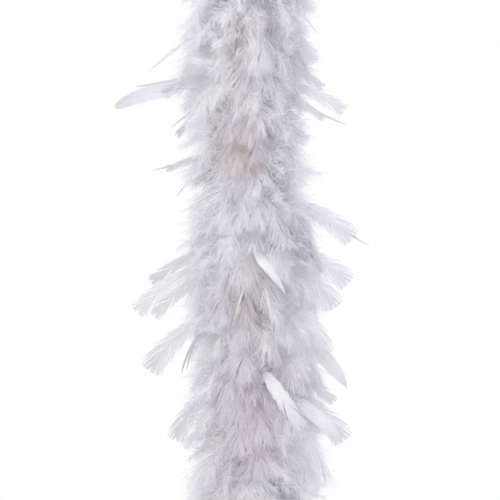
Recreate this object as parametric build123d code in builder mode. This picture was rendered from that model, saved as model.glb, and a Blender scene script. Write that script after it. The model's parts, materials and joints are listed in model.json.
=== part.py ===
from build123d import *
from math import radians, tan
import os

# A feather boa: whorls of feathers bound by thread along a two-ply cord that ends in a loop at
# each end. Sizes are in millimetres. +Z is up, and the boa hangs straight down from the origin,
# the point inside its top loop where a hook bears. It is made in equal spans that bend against
# each other, and every piece of a span is a node of its own.

# The whole boa
SPAN_COUNT = 12
SPAN_LENGTH = 145.0  # from one bend to the next
LOOP_LENGTH = 44.0  # from the hook to the first span
BOTTOM = -2 * LOOP_LENGTH - SPAN_COUNT * SPAN_LENGTH  # the hooking point of the bottom loop

# The cord through the middle
CORD_RADIUS = 1.5
BEND_CLEARANCE = 0.05  # round the ball end that sits in each bend
LOOP_ROUTE = [  # from the first span up round the loop and back: x, and height above the hook
    (1.55, -44.0),
    (1.55, -33.0),
    (9.5, -20.0),
    (11.5, -7.0),
    (5.6, 1.5),
    (-5.6, 1.5),
    (-11.5, -7.0),
    (-9.5, -20.0),
    (-1.55, -33.0),
    (-1.55, -44.0),
]
ARC_SHARE = 0.45  # of the shorter run beside a corner, used up by the corner's arc

# The thread that binds quills and loops. A quill winding is a sleeve of many fine turns.
QUILL_WINDING_LENGTH = 5.6
QUILL_WINDING_RADIUS = 2.4  # inside
QUILL_WINDING_WALL = 0.6
WINDING_INSET = 0.6  # from the top of a quill down to its winding
WHIPPING_THREAD_RADIUS = 0.4
WHIPPING_TURNS = 9
WHIPPING_RADIUS = 3.25  # inside

# One feather, with its origin at the top of its quill. Every feather follows the same drooping
# curve, so that the whorls nest above each other without touching.
QUILL_INNER = 1.55
QUILL_OUTER = 2.25
QUILL_LENGTH = 8.0
QUILL_HALF_WIDTH = 0.5
VANE_START = 12.0  # distance from the cord's centre where the barbs begin
THICKNESS = 0.8
DROOP = [(12.0, 9.0), (30.0, 15.0), (62.0, 31.0), (90.0, 51.0), (120.0, 80.0)]  # reach, drop
DOWN_HALF_WIDTH = 6.5
LONG_HALF_WIDTH = 7.5

# Whorls of each span: depth below the span's top, feathers in the whorl, reach of its feathers
DOWN_WHORLS = [(7.0, 8, 56.0), (31.0, 8, 62.0), (55.0, 8, 62.0), (79.0, 8, 56.0)]
LONG_WHORLS = [(19.0, 6, 117.0), (43.0, 6, 95.0)]
WHORL_TWIST = 19.0  # degrees that each whorl turns past the one above it
SPAN_TWIST = 47.0  # degrees that each span turns past the one above it


def drop_at(reach):
    """How far below its root the drooping curve is at this distance from the cord."""
    for (near, near_drop), (far, far_drop) in zip(DROOP, DROOP[1:]):
        if reach <= far:
            return near_drop + (far_drop - near_drop) * (reach - near) / (far - near)
    raise ValueError("the drooping curve ends before this reach")


def make_feather(reach, half_width):
    """One feather as a bent leaf of flat faces: quill along the cord, then the drooping vane."""
    upper = [(r, -drop) for r, drop in DROOP if r < reach]
    upper.append((reach, -drop_at(reach)))
    lower = [(r, z - THICKNESS) for r, z in reversed(upper)]
    quill_top = [(QUILL_INNER, 0.0), (QUILL_OUTER, 0.0), (QUILL_OUTER, THICKNESS - QUILL_LENGTH)]
    quill_bottom = [(QUILL_INNER, -QUILL_LENGTH)]
    edge = [
        (QUILL_INNER, QUILL_HALF_WIDTH),
        (VANE_START, QUILL_HALF_WIDTH),
        (VANE_START + 10.0, 0.75 * half_width),
        (0.50 * reach, half_width),
        (0.72 * reach, 0.92 * half_width),
        (0.90 * reach, 0.50 * half_width),
    ]
    other_edge = [(r, -y) for r, y in reversed(edge)]
    with BuildPart() as feather:
        with BuildSketch(Plane.XZ):
            with BuildLine():
                Polyline(*quill_top, *upper, *lower, *quill_bottom, close=True)
            make_face()
        extrude(amount=half_width, both=True)
        with BuildSketch(Plane.XY):
            with BuildLine():
                Polyline(*edge, (reach, 0.0), *other_edge, close=True)
            make_face()
        extrude(amount=-drop_at(reach) - THICKNESS, mode=Mode.INTERSECT)
    return feather.part


def make_quill_winding():
    """A thin sleeve round the quills, bevelled at both ends, from the origin down."""
    outside = QUILL_WINDING_RADIUS + QUILL_WINDING_WALL
    bevel = QUILL_WINDING_WALL / 2
    with BuildPart() as winding:
        with BuildSketch():
            Circle(outside)
            Circle(QUILL_WINDING_RADIUS, mode=Mode.SUBTRACT)
        extrude(amount=-QUILL_WINDING_LENGTH)
        rims = winding.edges().filter_by(GeomType.CIRCLE).group_by(SortBy.RADIUS)[-1]
        chamfer(rims, length=bevel)
    return winding.part


def make_whipping():
    """Turns of thread side by side round the Z axis, from the origin down."""
    pitch = 2 * WHIPPING_THREAD_RADIUS
    middle = WHIPPING_RADIUS + WHIPPING_THREAD_RADIUS
    crown = middle + WHIPPING_THREAD_RADIUS
    with BuildPart() as whipping:
        with BuildSketch(Plane.XZ):
            with BuildLine():
                Polyline(
                    (middle, 0),
                    (WHIPPING_RADIUS, 0),
                    (WHIPPING_RADIUS, -WHIPPING_TURNS * pitch),
                    (middle, -WHIPPING_TURNS * pitch),
                )
                for turn in range(WHIPPING_TURNS):
                    top = -turn * pitch
                    ThreePointArc((middle, top), (crown, top - pitch / 2), (middle, top - pitch))
            make_face()
        revolve(axis=Axis.Z)
    return whipping.part


def loop_radii():
    """The arc at each corner of the loop's route, as large as its two runs allow."""
    corners = [Vector(x, 0, z) for x, z in LOOP_ROUTE]
    radii = []
    for before, corner, after in zip(corners, corners[1:], corners[2:]):
        arriving = corner - before
        leaving = after - corner
        half_turn = radians(arriving.get_angle(leaving) / 2)
        radii.append(ARC_SHARE * min(arriving.length, leaving.length) / tan(half_turn))
    return radii


def write_node(finished, name):
    """Label one finished sub-part and write it as a node."""
    finished.label = name
    export_step(finished, f"parts/{name}.step")


def write_loop(name, height, upwards):
    """The doubled end of the cord. The hooking point is at this height, and upwards is 1 or -1."""
    points = [(x, height + upwards * z) for x, z in LOOP_ROUTE]
    with BuildPart() as loop:
        with BuildLine(Plane.XZ) as route:
            FilletPolyline(*points, radius=loop_radii())
        path = route.wire()
        with BuildSketch(Plane(origin=path @ 0, z_dir=path % 0)):
            Circle(CORD_RADIUS)
        sweep(path=path)
    section = loop.part.volume / path.length
    print(f"{name}: length {path.length:.1f}, mean section {section:.3f}")
    write_node(loop.part, name)


def write_core(number, top, bottom):
    """One span of the cord, with a ball end below that the next span's flat end turns about."""
    first = number == 1
    last = number == SPAN_COUNT
    start = top if first else top - CORD_RADIUS - BEND_CLEARANCE
    with BuildPart() as core:
        with BuildSketch(Plane.XY.offset(start)):
            Circle(CORD_RADIUS)
        extrude(amount=bottom - start)
        if not last:
            with Locations((0, 0, bottom)):
                Sphere(CORD_RADIUS)
    write_node(core.part, f"core_cord_{number:02d}")


def write_feathers(name, top, whorls, feathers, turn):
    """Every feather of one kind in a span, each a separate solid."""
    with BuildPart() as group:
        for index, (depth, count, reach) in enumerate(whorls):
            with Locations((0, 0, top - depth)):
                with PolarLocations(0, count, start_angle=turn + index * WHORL_TWIST):
                    add(feathers[reach])
    write_node(group.part, name)


def write_windings(number, top, winding):
    """The thread windings of a span, one over the quills of each whorl."""
    with BuildPart() as group:
        for depth, _, _ in DOWN_WHORLS + LONG_WHORLS:
            with Locations((0, 0, top - depth - WINDING_INSET)):
                add(winding)
    write_node(group.part, f"binding_thread_{number:02d}")


def write_span(number, feathers, winding):
    """All the pieces between two bends."""
    top = -LOOP_LENGTH - (number - 1) * SPAN_LENGTH
    turn = (number - 1) * SPAN_TWIST
    write_core(number, top, top - SPAN_LENGTH)
    write_windings(number, top, winding)
    write_feathers(f"down_feathers_{number:02d}", top, DOWN_WHORLS, feathers, turn)
    write_feathers(f"long_feathers_{number:02d}", top, LONG_WHORLS, feathers, turn + WHORL_TWIST / 2)


def write_whipping(name, top, whipping):
    """The winding that holds a loop's two legs together."""
    with BuildPart() as placed:
        with Locations((0, 0, top)):
            add(whipping)
    write_node(placed.part, name)


os.makedirs("parts", exist_ok=True)

whipping_length = 2 * WHIPPING_THREAD_RADIUS * WHIPPING_TURNS
print("arc radii of each loop:", [round(radius, 1) for radius in loop_radii()])

loop_whipping = make_whipping()
write_loop("top_loop", 0.0, 1)
write_whipping("top_whipping", whipping_length - LOOP_LENGTH, loop_whipping)

feather_shapes = {reach: make_feather(reach, DOWN_HALF_WIDTH) for _, _, reach in DOWN_WHORLS}
feather_shapes |= {reach: make_feather(reach, LONG_HALF_WIDTH) for _, _, reach in LONG_WHORLS}
quill_winding = make_quill_winding()
for span in range(1, SPAN_COUNT + 1):
    write_span(span, feather_shapes, quill_winding)

write_whipping("bottom_whipping", BOTTOM + LOOP_LENGTH, loop_whipping)
write_loop("bottom_loop", BOTTOM, -1)
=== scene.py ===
import json
from math import cos, pi, sin

import bpy
import numpy as np
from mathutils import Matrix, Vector


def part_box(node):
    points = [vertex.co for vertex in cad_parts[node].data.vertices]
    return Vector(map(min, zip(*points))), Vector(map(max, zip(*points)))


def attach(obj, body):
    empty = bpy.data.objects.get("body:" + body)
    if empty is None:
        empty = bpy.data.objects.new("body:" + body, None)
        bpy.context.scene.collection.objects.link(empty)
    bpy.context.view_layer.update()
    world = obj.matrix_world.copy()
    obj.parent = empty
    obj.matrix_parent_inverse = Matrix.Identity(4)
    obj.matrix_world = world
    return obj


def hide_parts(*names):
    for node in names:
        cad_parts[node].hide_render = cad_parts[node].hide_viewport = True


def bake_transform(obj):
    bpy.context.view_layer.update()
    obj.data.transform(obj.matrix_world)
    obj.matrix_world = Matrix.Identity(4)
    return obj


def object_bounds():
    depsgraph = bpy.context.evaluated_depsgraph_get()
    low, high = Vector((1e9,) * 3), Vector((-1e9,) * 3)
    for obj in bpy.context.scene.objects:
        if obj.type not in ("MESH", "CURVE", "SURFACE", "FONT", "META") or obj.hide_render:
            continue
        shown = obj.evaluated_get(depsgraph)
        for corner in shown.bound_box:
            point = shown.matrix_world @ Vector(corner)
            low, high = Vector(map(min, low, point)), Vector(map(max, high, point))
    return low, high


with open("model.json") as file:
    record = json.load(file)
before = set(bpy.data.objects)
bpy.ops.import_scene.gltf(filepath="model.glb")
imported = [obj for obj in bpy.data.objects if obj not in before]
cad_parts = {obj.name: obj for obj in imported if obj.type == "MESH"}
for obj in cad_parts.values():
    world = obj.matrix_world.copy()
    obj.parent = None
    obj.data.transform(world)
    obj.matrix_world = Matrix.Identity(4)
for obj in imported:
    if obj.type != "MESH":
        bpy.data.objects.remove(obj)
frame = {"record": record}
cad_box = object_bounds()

# A white feather boa hanging from a hook that is out of the picture. Everything is in metres, in
# the frame of the CAD model: +Z up, the hook at the origin, the cord along the Z axis. The camera
# looks along +Y, so an azimuth of 0 is the right side, 180 the left and 270 faces the camera.

MM = 0.001
DEGREE = pi / 180
GOLDEN_ANGLE = 137.508 * DEGREE

joints = frame["record"]["behaviour"]["joints"]
bend_heights = [joint["pos_m"][2] for joint in joints]
span_length = bend_heights[0] - bend_heights[1]
cord_top = bend_heights[0] + span_length
cord_bottom = bend_heights[-1] - span_length
span_count = len(joints) + 1
spans = [f"span_{number:02d}" for number in range(1, span_count + 1)]
BINDING_RADIUS = 2.8 * MM

# The camera sees this much of the boa, centred on this height.
FRAMED_SIZE = 465 * MM
FRAMED_CENTRE = -430 * MM


# ---- Feathers, each first made flat, along s, with t to the side and n out of its plane ----

class Shape:
    """The points of one flat feather, its faces, and how far each point is from root to tip."""

    def __init__(self, parts):
        offsets = np.cumsum([0] + [len(points) for points, _, _ in parts[:-1]])
        self.points = np.concatenate([points for points, _, _ in parts])
        self.quads = np.concatenate([quads + k for (_, quads, _), k in zip(parts, offsets)])
        self.reach = np.concatenate([reach for _, _, reach in parts])


def ribbons(centres, half_widths, sideways, reach):
    """Flat ribbons along rows of centre points, each a row of quads."""
    rows, steps, _ = centres.shape
    offset = sideways * half_widths[..., None]
    points = np.stack([centres - offset, centres + offset], axis=2).reshape(-1, 3)
    first = (np.arange(rows)[:, None] * steps + np.arange(steps - 1)) * 2
    quads = np.stack([first, first + 1, first + 3, first + 2], axis=-1).reshape(-1, 4)
    return points, quads, np.repeat(reach.reshape(-1), 2)


def ring_quads(rings, sides):
    """The faces of a tube whose points go round it ring by ring."""
    first = np.arange(rings - 1)[:, None] * sides
    here = np.arange(sides)
    after = (here + 1) % sides
    quads = np.stack(
        [first + here, first + after, first + sides + after, first + sides + here], axis=-1
    )
    return quads.reshape(-1, 4)


SHAFT_TAPER = 0.88  # of its base radius, lost on the way to its tip
SHAFT_COLOUR = 0.35  # a shaft's tip is coloured like barbs this far along the feather


def shaft(length, base_radius, sides, steps):
    """The quill and shaft of a feather, a tube that tapers to its tip."""
    s = np.linspace(0, length, steps)
    radius = base_radius * (1 - SHAFT_TAPER * s / length)
    turn = np.arange(sides) * 2 * pi / sides
    points = np.stack(
        [
            np.repeat(s, sides),
            np.outer(radius, np.cos(turn)).ravel(),
            np.outer(radius, np.sin(turn)).ravel(),
        ],
        axis=-1,
    )
    return points, ring_quads(steps, sides), np.repeat(SHAFT_COLOUR * s / length, sides)


def barb_curves(angle, barb):
    """How far the points of curved barbs lie along the shaft and out from it, from each barb's
    angle to the shaft at its points and its length."""
    step = barb[:, None] / (angle.shape[1] - 1)
    ds = np.cumsum(np.cos(angle) * step, axis=1) - np.cos(angle[:, :1]) * step
    dt = np.cumsum(np.sin(angle) * step, axis=1) - np.sin(angle[:, :1]) * step
    return ds, dt


def across_barbs(angle, side, roll):
    """The direction across each barb at its points, with each barb rolled about itself."""
    roll = np.broadcast_to(roll[:, None], angle.shape)
    return np.stack(
        [np.cos(roll) * np.sin(angle), -side * np.cos(roll) * np.cos(angle), np.sin(roll)],
        axis=-1,
    )


def wave(rng, share, fewest, most):
    """A wave along a vane, with between the fewest and the most crests."""
    return np.sin(2 * pi * (share * rng.uniform(fewest, most) + rng.random()))


# Barbs. A taper is the share of its width that a barb has lost at its tip. A width is half a
# barb's width over the spacing of the barbs, so that they overlap above 0.5. A camber is how far
# the edge of a vane curves down, over the vane's half width.
DOWN_BARB_POINTS = 3
DOWN_BARB_TAPER = 0.8
VANE_BARB_POINTS = 4
VANE_BARB_WIDTH = 0.78
VANE_BARB_TAPER = 0.14
VANE_CAMBER = 0.16
SOFT_BARB_WIDTH = 0.62
SOFT_BARB_TAPER = 0.74
SOFT_CAMBER = 0.22
VANE_TUFTS = ((0.5, 5, 8), (0.3, 11, 16))  # size, and the fewest and most along a vane
SOFT_TUFTS = ((0.14, 3, 6), (0.10, 8, 13))  # the same for a soft vane
SPLIT_WIDTH = 0.035  # share of the vane's length over which barbs lean away from a gap
SPLIT_OFFSET = 0.04  # by which a gap lies further along on one side, and less far on the other
CAMBER_STRAY = 0.00012  # by which the tips of barbs stray from the vane
SOFT_OUTLINE = ([0, 0.12, 0.45, 0.75, 0.92, 1], [0.50, 0.80, 1.0, 0.88, 0.62, 0.40])


def down_barbs(rng, length, start, stop, count, reach, width, curl):
    """Soft curling barbs on both sides of the shaft between two shares of its length."""
    at = np.sort(rng.uniform(start, stop, count))
    side = np.where(rng.random(count) < 0.5, -1.0, 1.0)[:, None]
    along = np.linspace(0, 1, DOWN_BARB_POINTS)
    taper = 1 - DOWN_BARB_TAPER * along**1.5
    fade = np.sin(np.clip((at - start) / (stop - start), 0.02, 0.98) * pi) ** 0.35
    barb = reach * fade * rng.uniform(0.6, 1.15, count)
    opening = 78 * DEGREE - 38 * DEGREE * at + rng.normal(0, 11 * DEGREE, count)
    closing = rng.normal(34 * DEGREE, 16 * DEGREE, count)
    angle = opening[:, None] - closing[:, None] * along
    ds, dt = barb_curves(angle, barb)
    rising = rng.normal(0, curl, count)[:, None]
    curling = rng.normal(0, curl, count)[:, None]
    lift = barb[:, None] * (rising * along + curling * along**2)
    centres = np.stack([at[:, None] * length + ds, side * dt, lift], axis=-1)
    sideways = across_barbs(angle, side, rng.uniform(0, pi, count))
    half_widths = width / 2 * taper * rng.uniform(0.7, 1.3, count)[:, None]
    # a point's place along the feather's colours, from the ivory quill to the painted shade at the
    # tip
    shade = 0.16 + 0.62 * at[:, None] + 0.22 * along
    return ribbons(centres, half_widths, sideways, shade)


def vane_barbs(rng, length, start, outline, count, splits, ragged):
    """Barbs that lie side by side in one flat vane. The outline gives the vane's half width at
    each share of the way from the vane's start to its tip, splits are gaps in it, and ragged is
    how unevenly its barbs end."""
    parts = []
    along = np.linspace(0, 1, VANE_BARB_POINTS)
    taper = 1 - VANE_BARB_TAPER * along**3
    pitch = (1 - start) * length / count
    for side in (-1.0, 1.0):
        share = (np.arange(count) + 0.5) / count
        at = start + (1 - start) * share
        angle = 40 * DEGREE - 16 * DEGREE * share
        wanted = np.interp(share, *outline) * (1.03 - (0.10 + ragged) * rng.random(count))
        tufts = np.zeros(count)
        for size, fewest, most in VANE_TUFTS:
            tufts += ragged * size * wave(rng, share, fewest, most)
        lean = np.zeros(count)
        for middle, size in splits:
            near = share - middle - SPLIT_OFFSET * side
            lean += np.sign(near) * size * np.exp(-np.abs(near) / SPLIT_WIDTH)
        angle = angle - lean * 0.5
        bend = angle[:, None] + tufts[:, None] * along - 14 * DEGREE * along
        barb = wanted / np.sin(angle - 7 * DEGREE)
        barb = np.minimum(barb, (1.04 - at) * length + 0.012 * length)
        ds, dt = barb_curves(bend, barb)
        stray = rng.normal(0, CAMBER_STRAY, count)[:, None]
        camber = -VANE_CAMBER * dt**2 / max(outline[1]) + stray * along
        centres = np.stack([at[:, None] * length + ds, side * dt, camber], axis=-1)
        sideways = across_barbs(bend, side, np.zeros(count))
        half_widths = VANE_BARB_WIDTH * pitch * np.sin(bend) * taper
        # a point's place along the feather's colours, from the ivory quill to the painted shade at
        # the tip
        shade = 0.8 * at[:, None] + 0.2 * along
        parts.append(ribbons(centres, half_widths, sideways, shade))
    return parts


def soft_vane(rng, length, start, half_width, count):
    """Barbs of a broad soft vane. They lie nearly in one plane, gather in tufts towards its edges
    and end in loose hairs."""
    parts = []
    along = np.linspace(0, 1, DOWN_BARB_POINTS)
    taper = 1 - SOFT_BARB_TAPER * along**1.8
    pitch = (1 - start) * length / count
    for side in (-1.0, 1.0):
        share = (np.arange(count) + rng.uniform(0.1, 0.9, count)) / count
        at = start + (1 - start) * share
        angle = 64 * DEGREE - 40 * DEGREE * share
        tufts = np.zeros(count)
        for size, fewest, most in SOFT_TUFTS:
            tufts += size * wave(rng, share, fewest, most)
        loose = rng.normal(0, 7 * DEGREE, count)
        bend = angle[:, None] + (tufts + loose)[:, None] * along - 20 * DEGREE * along
        wanted = half_width * np.interp(share, *SOFT_OUTLINE) * rng.uniform(0.72, 1.12, count)
        barb = wanted / np.sin(angle - 8 * DEGREE)
        barb = np.minimum(barb, (1.05 - at) * length + rng.uniform(4, 9, count) * MM)
        ds, dt = barb_curves(bend, barb)
        stray = 0.10 * wave(rng, share, 2, 4) + rng.normal(0, 0.07, count)
        camber = SOFT_CAMBER * dt**2 / half_width
        lift = barb[:, None] * stray[:, None] * along**1.5 - camber
        centres = np.stack([at[:, None] * length + ds, side * dt, lift], axis=-1)
        sideways = across_barbs(bend, side, rng.normal(0, 28 * DEGREE, count))
        half_widths = SOFT_BARB_WIDTH * pitch * taper * rng.uniform(0.75, 1.2, count)[:, None]
        # a point's place along the feather's colours, from the ivory quill to the painted shade at
        # the tip
        shade = 0.16 + 0.60 * at[:, None] + 0.24 * along
        parts.append(ribbons(centres, half_widths, sideways, shade))
    return parts


def soft_shape(rng, length):
    """A broad soft feather: fluff at its base, then a loose vane with a hairy edge."""
    parts = [shaft(length * 0.93, 0.42 * MM, sides=3, steps=7)]
    parts.append(down_barbs(
        rng, length, start=0.08, stop=0.50, count=84, reach=17 * MM, width=0.60 * MM, curl=0.40
    ))
    half_width = rng.uniform(17, 22) * MM
    parts += soft_vane(rng, length, start=0.24, half_width=half_width, count=120)
    return Shape(parts)


def down_shape(rng, length):
    """A down feather: a thin shaft with long fluffy barbs nearly to its tip."""
    parts = [shaft(length * 0.93, 0.42 * MM, sides=3, steps=7)]
    parts.append(down_barbs(
        rng, length, start=0.10, stop=0.85, count=180, reach=20 * MM, width=0.60 * MM, curl=0.42
    ))
    parts.append(down_barbs(
        rng, length, start=0.45, stop=1.0, count=156, reach=13 * MM, width=0.42 * MM, curl=0.34
    ))
    return Shape(parts)


def under_shape(rng, length):
    """Short dense down that covers the cord."""
    parts = [shaft(length * 0.9, 0.4 * MM, sides=3, steps=5)]
    parts.append(down_barbs(
        rng, length, start=0.08, stop=1.0, count=90, reach=21 * MM, width=1.4 * MM, curl=0.5
    ))
    return Shape(parts)


# Each kind of long feather: shares of the way from the start of its vane to its tip, and the
# vane's half widths there in mm. Splits are gaps in a vane: how far along, and how strongly the
# barbs beside it lean away.
OUTLINES = {
    "wisp": ([0, 0.15, 0.5, 0.8, 0.95, 1], [0.8, 1.6, 1.4, 0.8, 0.4, 0.1]),
    "slender": ([0, 0.15, 0.5, 0.8, 0.95, 1], [1.5, 2.4, 2.2, 1.3, 0.7, 0.2]),
    "pointed": ([0, 0.15, 0.45, 0.75, 0.92, 1], [3.5, 5.5, 5.6, 3.6, 1.6, 0.3]),
    "sickle": ([0, 0.15, 0.45, 0.75, 0.90, 1], [4.5, 6.4, 5.8, 2.8, 0.9, 0.1]),
    "pale": ([0, 0.15, 0.5, 0.80, 0.94, 1], [4.5, 7.4, 8.0, 5.6, 2.6, 0.4]),
    "blunt": ([0, 0.15, 0.5, 0.85, 0.96, 1], [3.5, 5.6, 6.4, 6.2, 4.6, 1.5]),
    "ragged": ([0, 0.15, 0.5, 0.85, 0.96, 1], [4.0, 7.0, 8.0, 6.6, 4.4, 1.6]),
    "broad": ([0, 0.15, 0.5, 0.85, 0.96, 1], [5.5, 9.0, 11.0, 10.0, 8.0, 3.5]),
}
SPLITS = {"ragged": [(0.35, 0.20), (0.66, 0.26)], "broad": [(0.55, 0.18)], "blunt": [(0.6, 0.20)]}
RAGGED = {"ragged": 0.20, "broad": 0.14, "blunt": 0.08}
PLAIN_RAGGED = 0.04  # of every other kind
# A pale feather's tip gets less of the painted shade than the others' tips.
PALE_SHADE = 0.75  # a pale feather is as white at its tip as others are this far along
LONG_VANE_START = 0.46  # share of a long feather's length


def long_shape(rng, length, kind):
    """A long feather: fluffy at its base, with a flat vane of barbs from the middle to the tip."""
    shares, widths = OUTLINES[kind]
    outline = (shares, [width * MM for width in widths])
    parts = [shaft(length * 0.985, 0.65 * MM, sides=4, steps=12)]
    parts.append(down_barbs(
        rng, length, start=0.12, stop=0.55, count=150, reach=17 * MM, width=0.36 * MM, curl=0.35
    ))
    parts.append(down_barbs(
        rng, length, start=0.42, stop=0.70, count=26, reach=9 * MM, width=0.35 * MM, curl=0.15
    ))
    parts += vane_barbs(
        rng, length, LONG_VANE_START, outline, count=84, splits=SPLITS.get(kind, []),
        ragged=RAGGED.get(kind, PLAIN_RAGGED),
    )
    # the pale feather's tip is painted with less shade
    if kind == "pale":
        parts = [(points, quads, PALE_SHADE * reach) for points, quads, reach in parts]
    return Shape(parts)


# ---- Feathers in place on the cord ----

LINE_POINTS = 25
DROOP_EASE = 1.1  # power of the share along the shaft. Above 1 it bends more towards its tip.
TURN_EASE = 1.5


def root_at(azimuth, height):
    """Where a feather is bound to the cord."""
    return np.array([BINDING_RADIUS * cos(azimuth), BINDING_RADIUS * sin(azimuth), height])


def hanging_line(length, root, azimuth, rise, droop, sideways):
    """The curve that a feather's shaft hangs in, with its direction and the level direction
    across it. Rise is its first angle above level, droop how much lower it points at its tip,
    sideways its turn round the cord."""
    share = np.linspace(0, 1, LINE_POINTS)
    rising = rise - droop * share**DROOP_EASE
    yaw = azimuth + sideways * share**TURN_EASE
    tangent = np.stack(
        [np.cos(rising) * np.cos(yaw), np.cos(rising) * np.sin(yaw), np.sin(rising)], axis=-1
    )
    across = np.stack([-np.sin(yaw), np.cos(yaw), 0 * yaw], axis=-1)
    step = length / (LINE_POINTS - 1)
    line = root + (np.cumsum(tangent, axis=0) - tangent[:1]) * step
    return line, tangent, across


def place(shape, length, hanging, twist, twist_more):
    """Bend a flat feather along the curve that it hangs in, twisted about its shaft."""
    line, tangent, across = hanging
    over = np.cross(tangent, across)
    turn = (twist + twist_more * np.linspace(0, 1, LINE_POINTS))[:, None]
    lateral = np.cos(turn) * across + np.sin(turn) * over
    normal = np.cross(tangent, lateral)
    at = shape.points[:, 0] / length * (LINE_POINTS - 1)
    index = np.clip(at.astype(int), 0, LINE_POINTS - 2)
    part = (at - index)[:, None]

    def along(values):
        return values[index] * (1 - part) + values[index + 1] * part

    t = shape.points[:, 1:2]
    n = shape.points[:, 2:3]
    return along(line) + along(lateral) * t + along(normal) * n


def mesh_object(name, points, quads, uvs, material):
    """A new object from arrays of points and four-cornered faces."""
    mesh = bpy.data.meshes.new(name)
    corners = quads.astype(np.int32).ravel()
    mesh.vertices.add(len(points))
    mesh.vertices.foreach_set("co", points.astype(np.float32).ravel())
    mesh.loops.add(len(corners))
    mesh.loops.foreach_set("vertex_index", corners)
    mesh.polygons.add(len(quads))
    mesh.polygons.foreach_set("loop_start", np.arange(len(quads), dtype=np.int32) * 4)
    layer = mesh.uv_layers.new(name="OFBake")
    layer.data.foreach_set("uv", uvs[corners].astype(np.float32).ravel())
    mesh.update(calc_edges=True)
    mesh.shade_smooth()
    mesh.materials.append(material)
    piece = bpy.data.objects.new(name, mesh)
    bpy.context.scene.collection.objects.link(piece)
    return piece


# ---- Materials ----

def new_material(name):
    """A material with its Principled shader, and a function that adds and links nodes to it."""
    material = bpy.data.materials.new(name)
    material.use_nodes = True
    nodes = material.node_tree.nodes
    nodes.clear()
    output = nodes.new("ShaderNodeOutputMaterial")
    shader = nodes.new("ShaderNodeBsdfPrincipled")

    def link(node, socket, target, target_socket):
        material.node_tree.links.new(node.outputs[socket], target.inputs[target_socket])

    link(shader, "BSDF", output, "Surface")
    return material, nodes, link, shader, output


def set_inputs(node, values):
    """Set a node's sockets by name."""
    for socket, value in values.items():
        node.inputs[socket].default_value = value


def colour_ramp(nodes, stops):
    """A ramp through colours at given positions."""
    ramp = nodes.new("ShaderNodeValToRGB")
    elements = ramp.color_ramp.elements
    while len(elements) < len(stops):
        elements.new(0.5)
    for element, (position, colour) in zip(elements, stops):
        element.position = position
        element.color = (*colour, 1)
    return ramp


COLOUR_A, COLOUR_B, COLOUR_OUT = 6, 7, 2  # the sockets of a Mix node that mixes colours


def multiplied(nodes, link, first, first_socket, second):
    """A node with the product of two colours."""
    mix = nodes.new("ShaderNodeMix")
    mix.data_type = "RGBA"
    mix.blend_type = "MULTIPLY"
    set_inputs(mix, {"Factor": 1.0})
    link(first, first_socket, mix, COLOUR_A)
    link(second, "Color", mix, COLOUR_B)
    return mix


def feather_material(name, shaft_end, tip, through, sheen, roughness):
    """Feathers are coloured along their length: ivory at the quill, then white, then darker towards
    the tip, where the darkening is painted shade; and by a tone of their own: beige, mauve, white
    or lavender. The two are the feathers' UV map."""
    material, nodes, link, shader, output = new_material(name)
    uv = nodes.new("ShaderNodeUVMap")
    uv.uv_map = "OFBake"
    split = nodes.new("ShaderNodeSeparateXYZ")
    link(uv, "UV", split, "Vector")
    # ivory at the quill, then white, then darker towards the tip: the darkening is painted shade
    ivory_and_painted_shade_ramp = colour_ramp(nodes, [
        (0.0, (0.88, 0.80, 0.68)),
        (shaft_end, (0.98, 0.965, 0.95)),
        (0.35, (0.99, 0.987, 0.99)),
        (0.70, (0.5 + 0.5 * tip, 0.5 + 0.5 * tip, 0.505 + 0.5 * tip)),
        (1.0, (tip, tip, tip + 0.015)),
    ])
    tone_ramp = colour_ramp(nodes, [
        (0.05, (0.975, 0.935, 0.875)),
        (0.28, (0.937, 0.913, 0.930)),
        (0.45, (1.0, 1.0, 1.0)),
        (0.65, (0.97, 0.97, 0.98)),
        (0.95, (0.94, 0.94, 0.978)),
    ])
    link(split, "X", ivory_and_painted_shade_ramp, "Fac")
    link(split, "Y", tone_ramp, "Fac")
    tint = multiplied(nodes, link, ivory_and_painted_shade_ramp, "Color", tone_ramp)
    streaks = nodes.new("ShaderNodeTexNoise")
    set_inputs(streaks, {"Scale": 60.0, "Detail": 3.0})
    link(uv, "UV", streaks, "Vector")
    streak_ramp = colour_ramp(nodes, [(0.3, (0.985, 0.983, 0.985)), (0.7, (1, 1, 1))])
    link(streaks, "Fac", streak_ramp, "Fac")
    streaked = multiplied(nodes, link, tint, COLOUR_OUT, streak_ramp)
    link(streaked, COLOUR_OUT, shader, "Base Color")
    shine = nodes.new("ShaderNodeMapRange")
    set_inputs(shine, {"From Max": 0.5, "To Min": 0.38, "To Max": roughness})
    link(split, "X", shine, "Value")
    link(shine, "Result", shader, "Roughness")
    set_inputs(shader, {
        "Sheen Weight": sheen, "Sheen Roughness": 0.4, "Specular IOR Level": 0.25,
    })
    light_through = nodes.new("ShaderNodeBsdfTranslucent")
    link(streaked, COLOUR_OUT, light_through, "Color")
    thin = nodes.new("ShaderNodeMixShader")
    set_inputs(thin, {"Fac": through})
    link(shader, "BSDF", thin, 1)
    link(light_through, "BSDF", thin, 2)
    link(thin, "Shader", output, "Surface")
    return material


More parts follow.
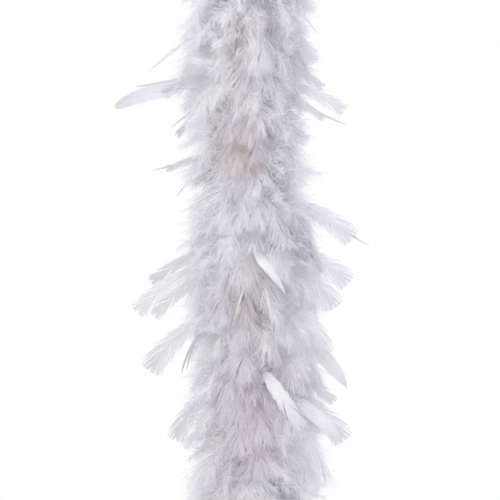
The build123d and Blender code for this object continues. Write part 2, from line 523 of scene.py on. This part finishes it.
def fibre_material(name, dark, light, scale, bump):
    """Spun cotton: fine fibres that run with the strand, darker where the bump sinks between them.
    """
    material, nodes, link, shader, _ = new_material(name)
    place_at = nodes.new("ShaderNodeTexCoord")
    fibres = nodes.new("ShaderNodeTexNoise")
    set_inputs(fibres, {"Scale": scale, "Detail": 4.0})
    link(place_at, "Object", fibres, "Vector")
    # darker where the fibres' bump is low, lighter where it is high
    colours = colour_ramp(nodes, [(0.3, dark), (0.65, light)])
    link(fibres, "Fac", colours, "Fac")
    link(colours, "Color", shader, "Base Color")
    raised = nodes.new("ShaderNodeBump")
    set_inputs(raised, {"Strength": bump, "Distance": 0.1 * MM})
    link(fibres, "Fac", raised, "Height")
    link(raised, "Normal", shader, "Normal")
    set_inputs(shader, {"Roughness": 0.85, "Sheen Weight": 0.3})
    return material


# tip is how dark the feathers' tips are painted as shade: a little for the down, much for the long
# feathers
down_material = feather_material(
    "down_feather", shaft_end=0.13, tip=0.975, through=0.82, sheen=0.35, roughness=0.75
)
long_material = feather_material(
    "long_feather", shaft_end=0.14, tip=0.72, through=0.35, sheen=0.25, roughness=0.55
)
cord_material = fibre_material(
    "cotton_cord", dark=(0.60, 0.55, 0.47), light=(0.86, 0.83, 0.77), scale=2500, bump=0.5
)
thread_material = fibre_material(
    "thread", dark=(0.72, 0.69, 0.64), light=(0.90, 0.88, 0.85), scale=4000, bump=0.3
)


# ---- The plumage ----

# How far the down reaches from the cord to the left and to the right, at heights above the
# middle of the framed stretch. Beyond them the first and the last row hold.
REACHES = [
    (260 * MM, 62 * MM, 60 * MM),
    (186 * MM, 67 * MM, 59 * MM),
    (160 * MM, 66 * MM, 51 * MM),
    (121 * MM, 66 * MM, 53 * MM),
    (85 * MM, 61 * MM, 47 * MM),
    (56 * MM, 60 * MM, 61 * MM),
    (9 * MM, 65 * MM, 65 * MM),
    (-46 * MM, 58 * MM, 63 * MM),
    (-88 * MM, 57 * MM, 70 * MM),
    (-125 * MM, 55 * MM, 72 * MM),
    (-160 * MM, 65 * MM, 75 * MM),
    (-190 * MM, 60 * MM, 72 * MM),
    (-260 * MM, 61 * MM, 64 * MM),
]
REACH_HEIGHTS, REACHES_LEFT, REACHES_RIGHT = np.array(REACHES[::-1]).T
SWELL = 0.05  # share by which the reach varies, over the two lengths below
SWELL_LENGTH = 31 * MM
SWELL_TURN = 55 * MM

# The tone of a feather goes from 0, beige, through mauve and white to 1, lavender. Each has about
# the usual tone, but for these patches: height above the middle of the framed stretch, azimuth,
# size, tone.
USUAL_TONE = 0.58
TONE_SPREAD = 0.09
LEAST_TONE = 0.03
MOST_TONE = 0.97
PATCH_STRENGTH = 0.85
PATCH_RADIUS = 61 * MM  # from the cord to where the patches' sizes are measured
TONE_PATCHES = [
    (140 * MM, 240 * DEGREE, 90 * MM, 0.46),
    (-150 * MM, 295 * DEGREE, 80 * MM, 0.30),
    (98 * MM, 259 * DEGREE, 31 * MM, 0.05),
    (190 * MM, 265 * DEGREE, 18 * MM, 0.10),
    (-10 * MM, 262 * DEGREE, 30 * MM, 0.32),
    (-55 * MM, 262 * DEGREE, 24 * MM, 0.10),
    (-120 * MM, 268 * DEGREE, 34 * MM, 0.27),
    (-185 * MM, 275 * DEGREE, 38 * MM, 0.27),
    (20 * MM, 350 * DEGREE, 40 * MM, 0.93),
    (170 * MM, 350 * DEGREE, 36 * MM, 0.68),
    (-160 * MM, 350 * DEGREE, 34 * MM, 0.85),
]

# Where soft feathers close the fluff: height in mm above the middle of the framed stretch, and
# azimuth in degrees. They lie flat on it.
EXTRA_SOFT = [
    (204, 284), (196, 300), (188, 316), (104, 262), (96, 274), (86, 256), (80, 268), (66, 262),
    (58, 272), (8, 268), (-24, 244), (34, 352), (-12, 350), (-88, 350), (92, 264), (94, 258),
    (88, 284), (-40, 300), (-48, 307), (-36, 236), (56, 246), (186, 326), (190, 338), (44, 356),
    (54, 292), (-108, 252), (-118, 258), (138, 244), (-96, 250), (190, 331), (117, 280), (60, 280),
    (142, 285), (-26, 271), (-118, 245), (170, 305), (-74, 262), (-60, 282), (30, 246), (-140, 262),
    (-122, 283), (-128, 276), (-12, 290), (-60, 240), (22, 340), (192, 322), (180, 334),
]
CLOSING_RISE = 10 * DEGREE
CLOSING_DROOP = 85 * DEGREE
CLOSING_TWIST = 0.3  # of the twist of the others

SOFT_VARIANTS = 12  # different soft feathers, and as many down feathers
SOFT_LENGTH = 66 * MM  # of a soft or down feather before it is sized to its place
SOFT_LEAST_SIZE = 0.7
SOFT_MOST_SIZE = 1.5
OUTSIDE = 0.97  # share of a feather's points that lie within its reach
HANG_SHARE = 0.3  # share of its length by which the middle of a feather hangs below its root
DOWN_SPACING = 1.35 * MM  # along the cord, from one down feather to the next
UNDER_VARIANTS = 8
UNDER_LENGTH = 48 * MM
UNDER_HANG = 12 * MM
UNDER_SPACING = 1.8 * MM
LONG_LENGTH = 92 * MM  # before it is sized to its place
LONG_SPACING = 8.2 * MM
LONG_HANG_SHARE = 0.4
LONG_TONE_MORE = 0.25  # the most by which a long feather is nearer to lavender than the down
LONG_MOST_FRAMED = 88 * MM  # behind the framed stretch
LONG_MOST_AT_END = 80 * MM  # at the bottom of the cord, and longer above it
LONG_KINDS = ["pointed", "blunt", "broad", "ragged", "slender", "broad", "wisp", "ragged"]

# At the sides and in front of the framed stretch only the listed long feathers stand out.
SIDE_CLEARING = 38 * DEGREE  # how far each side reaches round to the front and to the back
CLEARED_ABOVE = 30 * MM  # from the middle of the framed stretch up to that of the cleared one
CLEARED_SHARE = 0.56  # half the height of the cleared stretch, over that of the framed one


def down_reach(height, azimuth):
    """How far the down reaches from the cord at a height and in a direction."""
    above = height - FRAMED_CENTRE
    left = np.interp(above, REACH_HEIGHTS, REACHES_LEFT)
    right = np.interp(above, REACH_HEIGHTS, REACHES_RIGHT)
    swell = 1 + SWELL * sin(height / SWELL_LENGTH) * cos(azimuth * 2 + height / SWELL_TURN)
    return (left + (right - left) * (1 + cos(azimuth)) / 2) * swell


def tone_at(rng, height, azimuth):
    """The tone of a feather: the usual one, unless it lies in a patch of another one."""
    tone = rng.normal(USUAL_TONE, TONE_SPREAD)
    for above, direction, size, patch in TONE_PATCHES:
        turn = (azimuth - direction + pi) % (2 * pi) - pi
        far = ((height - FRAMED_CENTRE - above) ** 2 + (turn * PATCH_RADIUS) ** 2) / size**2
        tone += (patch - tone) * PATCH_STRENGTH * np.exp(-far)
    return float(np.clip(tone, LEAST_TONE, MOST_TONE))


class Plumage:
    """Feathers gathered into one piece for each stretch of cord between the middles of two
    spans, so that each piece lies over one joint."""

    def __init__(self):
        self.points = [[] for _ in range(span_count + 1)]
        self.quads = [[] for _ in range(span_count + 1)]
        self.uvs = [[] for _ in range(span_count + 1)]

    def add(self, shape, placed, root_height, tone):
        """Add one feather to the stretch that its root is in."""
        stretch = int((cord_top - root_height) / span_length + 0.5)
        stretch = min(max(stretch, 0), span_count)
        start = sum(len(points) for points in self.points[stretch])
        self.points[stretch].append(placed)
        self.quads[stretch].append(shape.quads + start)
        tones = np.full(len(placed), tone)
        self.uvs[stretch].append(np.stack([shape.reach.clip(0, 1), tones], axis=-1))

    def finish(self, name, material, node):
        """Make each stretch's piece, and hide the CAD feathers of the span it starts in, in whose
        place it stands.
        """
        for number in range(span_count + 1):
            piece = mesh_object(
                f"{name}_{number:02d}",
                np.concatenate(self.points[number]),
                np.concatenate(self.quads[number]),
                np.concatenate(self.uvs[number]),
                material,
            )
            hang(piece, number)
            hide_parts(f"{node}_{max(number, 1):02d}")


def hang(piece, number):
    """A piece of one stretch lies on two spans and only has its transform baked into its points.
    The first and the last stretch lie on one span each, and are attached to it."""
    if number in (0, span_count):
        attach(piece, spans[min(number, span_count - 1)])
        return
    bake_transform(piece)


def add_down(plumage, rng):
    """Soft and down feathers all round the cord, spaced by the golden angle, and a few more that
    close the framed stretch."""
    soft_shapes = [soft_shape(rng, SOFT_LENGTH) for _ in range(SOFT_VARIANTS)]
    down_shapes = [down_shape(rng, SOFT_LENGTH) for _ in range(SOFT_VARIANTS)]
    count = int((cord_top - cord_bottom) / DOWN_SPACING)

    def grow(shapes, height, azimuth, nearest, furthest, closing=False):
        """Add a feather of such a size that it comes out to between the nearest and the furthest
        share of the down's reach."""
        rise = rng.normal(-2, 15) * DEGREE
        droop = rng.uniform(25, 80) * DEGREE
        shape = shapes[rng.integers(len(shapes))]
        root = root_at(azimuth, height)
        sideways = rng.normal(0, 16) * DEGREE
        twist, twist_more = rng.normal(0, 26) * DEGREE, rng.normal(0, 24) * DEGREE
        if closing:
            rise, droop = CLOSING_RISE, CLOSING_DROOP
            twist, twist_more = CLOSING_TWIST * twist, CLOSING_TWIST * twist_more
        hanging = hanging_line(SOFT_LENGTH, root, azimuth, rise, droop, sideways)
        placed = place(shape, SOFT_LENGTH, hanging, twist, twist_more)
        out = np.quantile(np.hypot(placed[:, 0], placed[:, 1]), OUTSIDE)
        reach = down_reach(height - HANG_SHARE * SOFT_LENGTH, azimuth)
        wanted = reach * rng.uniform(nearest, furthest)
        size = min(max(wanted / out, SOFT_LEAST_SIZE), SOFT_MOST_SIZE)
        placed = root + (placed - root) * size
        tone = tone_at(rng, height - HANG_SHARE * size * SOFT_LENGTH, azimuth)
        plumage.add(shape, placed, height, tone)

    for index in range(count):
        height = cord_top - (index + rng.uniform(0, 1)) * DOWN_SPACING
        azimuth = index * GOLDEN_ANGLE + rng.normal(0, 0.12)
        if index % 2:
            grow(down_shapes, height, azimuth, nearest=0.93, furthest=1.10)
        else:
            grow(soft_shapes, height, azimuth, nearest=0.90, furthest=1.07)
    for above, direction in EXTRA_SOFT:
        height, azimuth = FRAMED_CENTRE + above * MM, direction * DEGREE
        grow(soft_shapes, height, azimuth, nearest=0.96, furthest=1.04, closing=True)


def add_under_down(plumage, rng):
    """Short down close to the cord."""
    shapes = [under_shape(rng, UNDER_LENGTH) for _ in range(UNDER_VARIANTS)]
    count = int((cord_top - cord_bottom) / UNDER_SPACING)
    for index in range(count):
        height = cord_top - (index + rng.uniform(0, 1)) * UNDER_SPACING
        azimuth = index * GOLDEN_ANGLE + rng.normal(0, 0.2)
        shape = shapes[rng.integers(len(shapes))]
        rise = rng.normal(0, 22) * DEGREE
        droop = rng.uniform(10, 60) * DEGREE
        sideways = rng.normal(0, 18) * DEGREE
        root = root_at(azimuth, height)
        hanging = hanging_line(UNDER_LENGTH, root, azimuth, rise, droop, sideways)
        placed = place(shape, UNDER_LENGTH, hanging, rng.normal(0, 40) * DEGREE, 0.0)
        plumage.add(shape, placed, height, tone_at(rng, height - UNDER_HANG, azimuth))


def add_long(plumage, rng):
    """Long feathers between them, apart from the sides and the front of the framed stretch."""
    shapes = [long_shape(rng, LONG_LENGTH, kind) for kind in LONG_KINDS]
    count = int((cord_top - cord_bottom) / LONG_SPACING)
    for index in range(count):
        height = cord_top - (index + rng.uniform(0, 1)) * LONG_SPACING
        azimuth = (index * GOLDEN_ANGLE + rng.normal(0, 0.2)) % (2 * pi)
        shape = shapes[rng.integers(len(shapes))]
        rise = rng.normal(-10, 14) * DEGREE
        droop = rng.uniform(18, 66) * DEGREE
        length = min(rng.uniform(74, 120) * MM, LONG_MOST_AT_END + height - cord_bottom)
        sideways = rng.normal(0, 22) * DEGREE
        twist, twist_more = rng.normal(0, 55) * DEGREE, rng.normal(0, 25) * DEGREE
        tone = tone_at(rng, height - LONG_HANG_SHARE * length, azimuth)
        tone += rng.uniform(0, LONG_TONE_MORE)
        from_side = abs((azimuth + pi / 2) % pi - pi / 2)
        facing = pi + SIDE_CLEARING < azimuth < 2 * pi - SIDE_CLEARING
        if abs(height - FRAMED_CENTRE - CLEARED_ABOVE) < CLEARED_SHARE * FRAMED_SIZE:
            if from_side < SIDE_CLEARING or facing:
                continue
            length = min(length, LONG_MOST_FRAMED)
        root = root_at(azimuth, height)
        hanging = hanging_line(LONG_LENGTH, root, azimuth, rise, droop, sideways)
        placed = place(shape, LONG_LENGTH, hanging, twist, twist_more)
        placed = root + (placed - root) * (length / LONG_LENGTH)
        plumage.add(shape, placed, height, min(tone, MOST_TONE))


# The long feathers that stand out of the framed stretch, on the left, on the right and in front.
# Each has a kind, its root's height and its tip (x, y, z) in mm, with heights above the middle of
# the stretch; then its droop, sideways turn and twist in degrees, and its tone.
STANDING_OUT = [
    ("wisp", 222, (-93, -5, 166), 24, 0, 80, 0.6),
    ("wisp", 176, (-107, 4, 152), -10, 0, 75, 0.6),
    ("pointed", 139, (-124, -6, 133), 50, 0, 84, 0.93),
    ("ragged", 176, (-78, -4, 146), 20, 0, 70, 0.6),
    ("wisp", 150, (-73, -8, 113), 30, 0, 60, 0.6),
    ("blunt", 150, (-66, -10, 108), 34, 0, 50, 0.6),
    ("wisp", 104, (-91, -2, 74), -14, 0, 85, 0.6),
    ("blunt", 100, (-75, -6, 76), 4, 0, 60, 0.5),
    ("wisp", 96, (-68, 2, 50), 40, 0, 70, 0.6),
    ("blunt", 12, (-89, -4, -27), 24, 0, 70, 0.62),
    ("ragged", 2, (-101, -12, -54), 30, 0, 86, 0.62),
    ("blunt", -12, (-86, -10, -58), 36, 0, 70, 0.62),
    ("broad", -42, (-91, -6, -108), 34, 0, 84, 0.62),
    ("slender", -50, (-63, -14, -113), 62, 0, 60, 0.62),
    ("slender", -46, (-58, -20, -110), 66, 0, 60, 0.62),
    ("broad", -104, (-68, -10, -172), 40, 0, 75, 0.6),
    ("broad", 222, (58, -14, 176), 34, 0, 70, 0.80),
    ("ragged", 190, (66, 4, 153), 10, 0, 70, 0.8),
    ("ragged", 168, (84, -10, 131), 16, 0, 74, 0.9),
    ("wisp", 160, (89, 6, 117), -8, 0, 60, 0.6),
    ("blunt", 156, (66, -8, 123), 24, 0, 60, 0.8),
    ("broad", 58, (92, -4, 13), 30, 0, 78, 0.90),
    ("wisp", 54, (111, 2, 4), 10, 0, 60, 0.9),
    ("blunt", 16, (66, -8, -18), 24, 0, 60, 0.9),
    ("broad", 16, (88, -10, -28), 26, 0, 84, 0.97),
    ("broad", 4, (76, -16, -50), 46, 0, 70, 0.95),
    ("broad", -34, (68, -22, -92), 62, 0, 70, 0.66),
    ("wisp", -50, (77, -4, -101), 34, 0, 60, 0.7),
    ("sickle", -62, (90, -10, -128), 46, 0, 86, 0.66),
    ("blunt", -88, (75, -12, -138), 20, 0, 70, 0.8),
    ("broad", -112, (84, -20, -172), 30, 0, 75, 0.88),
    ("pale", 14, (31, -68, -37), 50, 80, 10, 0.45),
    ("wisp", -10, (-15, -68, -66), 60, -40, 20, 0.05),
    ("wisp", -14, (20, -68, -66), 70, 10, 20, 0.10),
    ("blunt", -86, (44, -74, -156), 40, 70, 44, 0.66),
    ("sickle", -116, (84, -50, -173), 30, 30, 50, 0.60),
]
AIMING_ROUNDS = 12


def add_standing_out(plumage, rng):
    """The listed long feathers, each turned and sized until its tip comes where it is listed."""
    shapes = {kind: long_shape(rng, LONG_LENGTH, kind) for kind in OUTLINES}
    for kind, root_height, tip, droop, sideways, twist, tone in STANDING_OUT:
        height = FRAMED_CENTRE + root_height * MM
        tip = np.array(tip) * MM + (0, 0, FRAMED_CENTRE)
        curl = droop * DEGREE, sideways * DEGREE
        azimuth, rise, length = np.arctan2(tip[1], tip[0]), 0.0, LONG_LENGTH
        for _ in range(AIMING_ROUNDS):
            root = root_at(azimuth, height)
            reached = hanging_line(length, root, azimuth, rise, *curl)[0][-1] - root
            wanted = tip - root
            azimuth += np.arctan2(wanted[1], wanted[0]) - np.arctan2(reached[1], reached[0])
            rise += np.arctan2(wanted[2], np.hypot(*wanted[:2]))
            rise -= np.arctan2(reached[2], np.hypot(*reached[:2]))
            length *= np.linalg.norm(wanted) / np.linalg.norm(reached)
        hanging = hanging_line(LONG_LENGTH, root, azimuth, rise, *curl)
        twist_more = rng.normal(0, 8) * DEGREE
        placed = place(shapes[kind], LONG_LENGTH, hanging, twist * DEGREE, twist_more)
        placed = root + (placed - root) * (length / LONG_LENGTH)
        plumage.add(shapes[kind], placed, height, tone)


# Each kind of feather has its own seed.
down = Plumage()
add_down(down, np.random.default_rng(11))
add_under_down(down, np.random.default_rng(17))
down.finish("down_plumage", down_material, "down_feathers")
long = Plumage()
add_long(long, np.random.default_rng(23))
add_standing_out(long, np.random.default_rng(5))
long.finish("long_plumage", long_material, "long_feathers")


# ---- The cord, its loops and the thread ----

PLY_RADIUS = 0.8 * MM
PLY_OFFSET = 0.74 * MM
PLY_SIDES = 8
LAY_PITCH = 9 * MM  # of one full twist of the two plies
CORD_STEP = 1 * MM  # from one of the core cord's points to the next
THREAD_RADIUS = 0.35 * MM
THREAD_PITCH = 2.6 * MM
THREAD_STEPS = 14  # to each turn of the winding over the quills
THREAD_SIDES = 5
WHIPPING_PITCH = 2.1 * THREAD_RADIUS
WHIPPING_STEPS = 260
WHIPPING_SIDES = 6
TUBE_GUIDE = (0.31, 0.95, 0.05)  # a direction that none of the tubes runs in
LOOP_ROUTE = [  # from the first span up round the loop and back: x, and height above the hook
    (1.55 * MM, -44.0 * MM),
    (1.55 * MM, -33.0 * MM),
    (9.5 * MM, -20.0 * MM),
    (11.5 * MM, -7.0 * MM),
    (5.6 * MM, 1.5 * MM),
    (-5.6 * MM, 1.5 * MM),
    (-11.5 * MM, -7.0 * MM),
    (-9.5 * MM, -20.0 * MM),
    (-1.55 * MM, -33.0 * MM),
    (-1.55 * MM, -44.0 * MM),
]


def directions_across(line, guide):
    """Two directions square to a line at each of its points, the first square to the guide."""
    tangent = np.gradient(line, axis=0)
    tangent /= np.linalg.norm(tangent, axis=1)[:, None]
    side = np.cross(tangent, guide)
    side /= np.linalg.norm(side, axis=1)[:, None]
    return side, np.cross(tangent, side)


def tube(line, radius, sides):
    """Points, faces and UVs of a tube along a line of points."""
    side, other = directions_across(line, TUBE_GUIDE)
    turn = np.arange(sides) * 2 * pi / sides
    points = (
        line[:, None]
        + radius * np.cos(turn)[None, :, None] * side[:, None]
        + radius * np.sin(turn)[None, :, None] * other[:, None]
    ).reshape(-1, 3)
    along = np.repeat(np.linspace(0, 1, len(line)), sides)
    around = np.tile(np.arange(sides) / sides, len(line))
    return points, ring_quads(len(line), sides), np.stack([along, around], axis=-1)


def joined(tubes):
    """Several tubes as one set of arrays, each with its own band of the UV map."""
    points, quads, uvs = [], [], []
    start = 0
    for index, (tube_points, tube_quads, tube_uvs) in enumerate(tubes):
        points.append(tube_points)
        quads.append(tube_quads + start)
        uvs.append(tube_uvs * (1, 1 / len(tubes)) + (0, index / len(tubes)))
        start += len(tube_points)
    return np.concatenate(points), np.concatenate(quads), np.concatenate(uvs)


def laid_cord(name, line):
    """Two plies twisted round a line of points."""
    steps = np.linalg.norm(np.diff(line, axis=0), axis=1)
    distance = np.concatenate([[0], np.cumsum(steps)])
    side, other = directions_across(line, (0, 1, 0))
    plies = []
    for start in (0, pi):
        turn = (start + 2 * pi * distance / LAY_PITCH)[:, None]
        ply = line + PLY_OFFSET * (np.cos(turn) * side + np.sin(turn) * other)
        plies.append(tube(ply, PLY_RADIUS, PLY_SIDES))
    piece = mesh_object(name, *joined(plies), cord_material)
    return piece


def wound_thread(name, heights, pitch, radius, sides):
    """A thread wound round the cord's axis, through the given heights."""
    turn = 2 * pi * heights / pitch
    line = np.stack([radius * np.cos(turn), radius * np.sin(turn), heights], axis=-1)
    piece = mesh_object(name, *tube(line, THREAD_RADIUS, sides), thread_material)
    return piece


def stretch_ends(number):
    """The heights between which a piece of one stretch lies."""
    top = cord_top - (number - 0.5) * span_length
    return min(top, cord_top), max(top - span_length, cord_bottom)


def add_core(number):
    """The cord of one stretch."""
    top, bottom = stretch_ends(number)
    heights = np.linspace(top, bottom, int((top - bottom) / CORD_STEP))
    line = np.stack([0 * heights, 0 * heights, heights], axis=-1)
    piece = laid_cord(f"core_ply_{number:02d}", line)
    hang(piece, number)
    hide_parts(f"core_cord_{max(number, 1):02d}")


def add_thread(number):
    """The thread wound over the quills of one stretch."""
    top, bottom = stretch_ends(number)
    heights = np.linspace(top, bottom, int((top - bottom) / THREAD_PITCH * THREAD_STEPS))
    radius = BINDING_RADIUS - THREAD_RADIUS
    name = f"thread_winding_{number:02d}"
    piece = wound_thread(name, heights, THREAD_PITCH, radius, THREAD_SIDES)
    hang(piece, number)
    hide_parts(f"binding_thread_{max(number, 1):02d}")


def smooth_route(points):
    """Points along the smooth curve that a route's points control."""
    curve = bpy.data.curves.new("route", "CURVE")
    curve.dimensions = "3D"
    spline = curve.splines.new("NURBS")
    spline.points.add(len(points) - 1)
    for control, point in zip(spline.points, points):
        control.co = (*point, 1)
    spline.order_u = 3
    spline.use_endpoint_u = True
    spline.resolution_u = 12
    holder = bpy.data.objects.new("route", curve)
    bpy.context.scene.collection.objects.link(holder)
    bpy.context.view_layer.update()
    evaluated = holder.evaluated_get(bpy.context.evaluated_depsgraph_get())
    mesh = bpy.data.meshes.new_from_object(evaluated)
    line = np.array([vertex.co for vertex in mesh.vertices])
    bpy.data.objects.remove(holder)
    bpy.data.curves.remove(curve)
    bpy.data.meshes.remove(mesh)
    return line


def add_loop(name, whipping_name, hook_height, upwards, body):
    """The cord's doubled end and the thread whipped round its legs."""
    line = smooth_route([(x, 0, hook_height + upwards * z) for x, z in LOOP_ROUTE])
    piece = laid_cord(f"{name}_ply", line)
    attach(piece, body)
    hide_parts(name)
    low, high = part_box(whipping_name)
    heights = np.linspace(low[2] + THREAD_RADIUS, high[2] - THREAD_RADIUS, WHIPPING_STEPS)
    radius = high[0] - THREAD_RADIUS
    wound_name = f"{whipping_name}_thread"
    winding = wound_thread(wound_name, heights, WHIPPING_PITCH, radius, WHIPPING_SIDES)
    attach(winding, body)
    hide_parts(whipping_name)


for number in range(span_count + 1):
    add_core(number)
    add_thread(number)
add_loop("top_loop", "top_whipping", 0.0, 1, spans[0])
add_loop("bottom_loop", "bottom_whipping", cord_bottom + LOOP_ROUTE[0][1], -1, spans[-1])


# ---- Floor, light and camera ----

FLOOR_SIZE = 22.0
FLOOR_GAP = 60 * MM  # from the boa down to the floor
FLOOR_FADES_FROM = 1.5  # distance from the middle of the floor
FLOOR_FADES_TO = 10.5
CAMERA_DISTANCE = 2.2
SENSOR_WIDTH = 36.0  # mm


def add_floor():
    """A plain pale floor under the hanging boa, which fades into the backdrop."""
    height = cad_box[0][2] - FLOOR_GAP
    bpy.ops.mesh.primitive_plane_add(size=FLOOR_SIZE, location=(0, 0, height))
    floor = bpy.context.object
    floor.name = "floor"
    material, nodes, link, shader, output = new_material("floor")
    grain = nodes.new("ShaderNodeTexNoise")
    set_inputs(grain, {"Scale": 3.0})
    tones = colour_ramp(nodes, [(0.3, (0.88, 0.88, 0.88)), (0.7, (0.91, 0.91, 0.91))])
    link(grain, "Fac", tones, "Fac")
    link(tones, "Color", shader, "Base Color")
    set_inputs(shader, {"Roughness": 0.8})
    place_at = nodes.new("ShaderNodeTexCoord")
    centre_out = nodes.new("ShaderNodeVectorMath")
    centre_out.operation = "LENGTH"
    link(place_at, "Object", centre_out, 0)
    fade = nodes.new("ShaderNodeMapRange")
    fade.interpolation_type = "SMOOTHSTEP"
    set_inputs(fade, {"From Min": FLOOR_FADES_FROM, "From Max": FLOOR_FADES_TO})
    link(centre_out, "Value", fade, "Value")
    clear = nodes.new("ShaderNodeBsdfTransparent")
    edge = nodes.new("ShaderNodeMixShader")
    link(fade, "Result", edge, "Fac")
    link(shader, "BSDF", edge, 1)
    link(clear, "BSDF", edge, 2)
    link(edge, "Shader", output, "Surface")
    floor.data.materials.append(material)


def add_light(name, position, aim, size, power, colour):
    """A soft square light that points at a place on the boa."""
    data = bpy.data.lights.new(name, "AREA")
    data.size = size
    data.energy = power
    data.color = colour
    lamp = bpy.data.objects.new(name, data)
    lamp.location = position
    lamp.rotation_euler = (Vector(aim) - Vector(position)).to_track_quat("-Z", "Y").to_euler()
    lamp.visible_camera = False
    bpy.context.scene.collection.objects.link(lamp)


def add_camera():
    """A level camera that sees the framed stretch from in front."""
    data = bpy.data.cameras.new("camera")
    data.sensor_width = SENSOR_WIDTH
    data.lens = SENSOR_WIDTH * CAMERA_DISTANCE / FRAMED_SIZE
    camera = bpy.data.objects.new("camera", data)
    camera.location = (0, -CAMERA_DISTANCE, FRAMED_CENTRE)
    camera.rotation_euler = (pi / 2, 0, 0)
    bpy.context.scene.collection.objects.link(camera)
    bpy.context.scene.camera = camera


def add_world(light, backdrop):
    """Even white light from all round, and a backdrop that is lit more brightly than the boa."""
    world = bpy.data.worlds.new("studio")
    world.use_nodes = True
    tree = world.node_tree
    dome = tree.nodes["Background"]
    set_inputs(dome, {"Color": (0.97, 0.965, 1.0, 1), "Strength": light})
    white = tree.nodes.new("ShaderNodeBackground")
    set_inputs(white, {"Color": (1, 1, 1, 1), "Strength": backdrop})
    seen = tree.nodes.new("ShaderNodeLightPath")
    mix = tree.nodes.new("ShaderNodeMixShader")
    tree.links.new(seen.outputs["Is Camera Ray"], mix.inputs["Fac"])
    tree.links.new(dome.outputs["Background"], mix.inputs[1])
    tree.links.new(white.outputs["Background"], mix.inputs[2])
    tree.links.new(mix.outputs["Shader"], tree.nodes["World Output"].inputs["Surface"])
    bpy.context.scene.world = world


add_floor()
add_world(light=0.85, backdrop=1.0)
framed = (0, 0, FRAMED_CENTRE)
add_light(
    "key", (-1.05, -1.3, FRAMED_CENTRE + 1.5), aim=framed, size=2.4, power=29.0,
    colour=(1.0, 0.99, 0.97),
)
add_light(
    "fill", (1.4, -1.2, FRAMED_CENTRE + 0.2), aim=framed, size=2.4, power=8.5,
    colour=(0.93, 0.94, 1.0),
)
add_light(
    "low", (-0.6, -2.2, cord_bottom + 0.9), aim=(0, 0, cord_bottom), size=1.3, power=2.5,
    colour=(1.0, 1.0, 1.0),
)
add_light(
    "back", (0.7, 2.4, -0.2), aim=(0, 0, -0.9), size=2.4, power=9.0, colour=(0.97, 0.97, 1.0)
)
add_camera()
bpy.context.scene.view_settings.view_transform = "Standard"
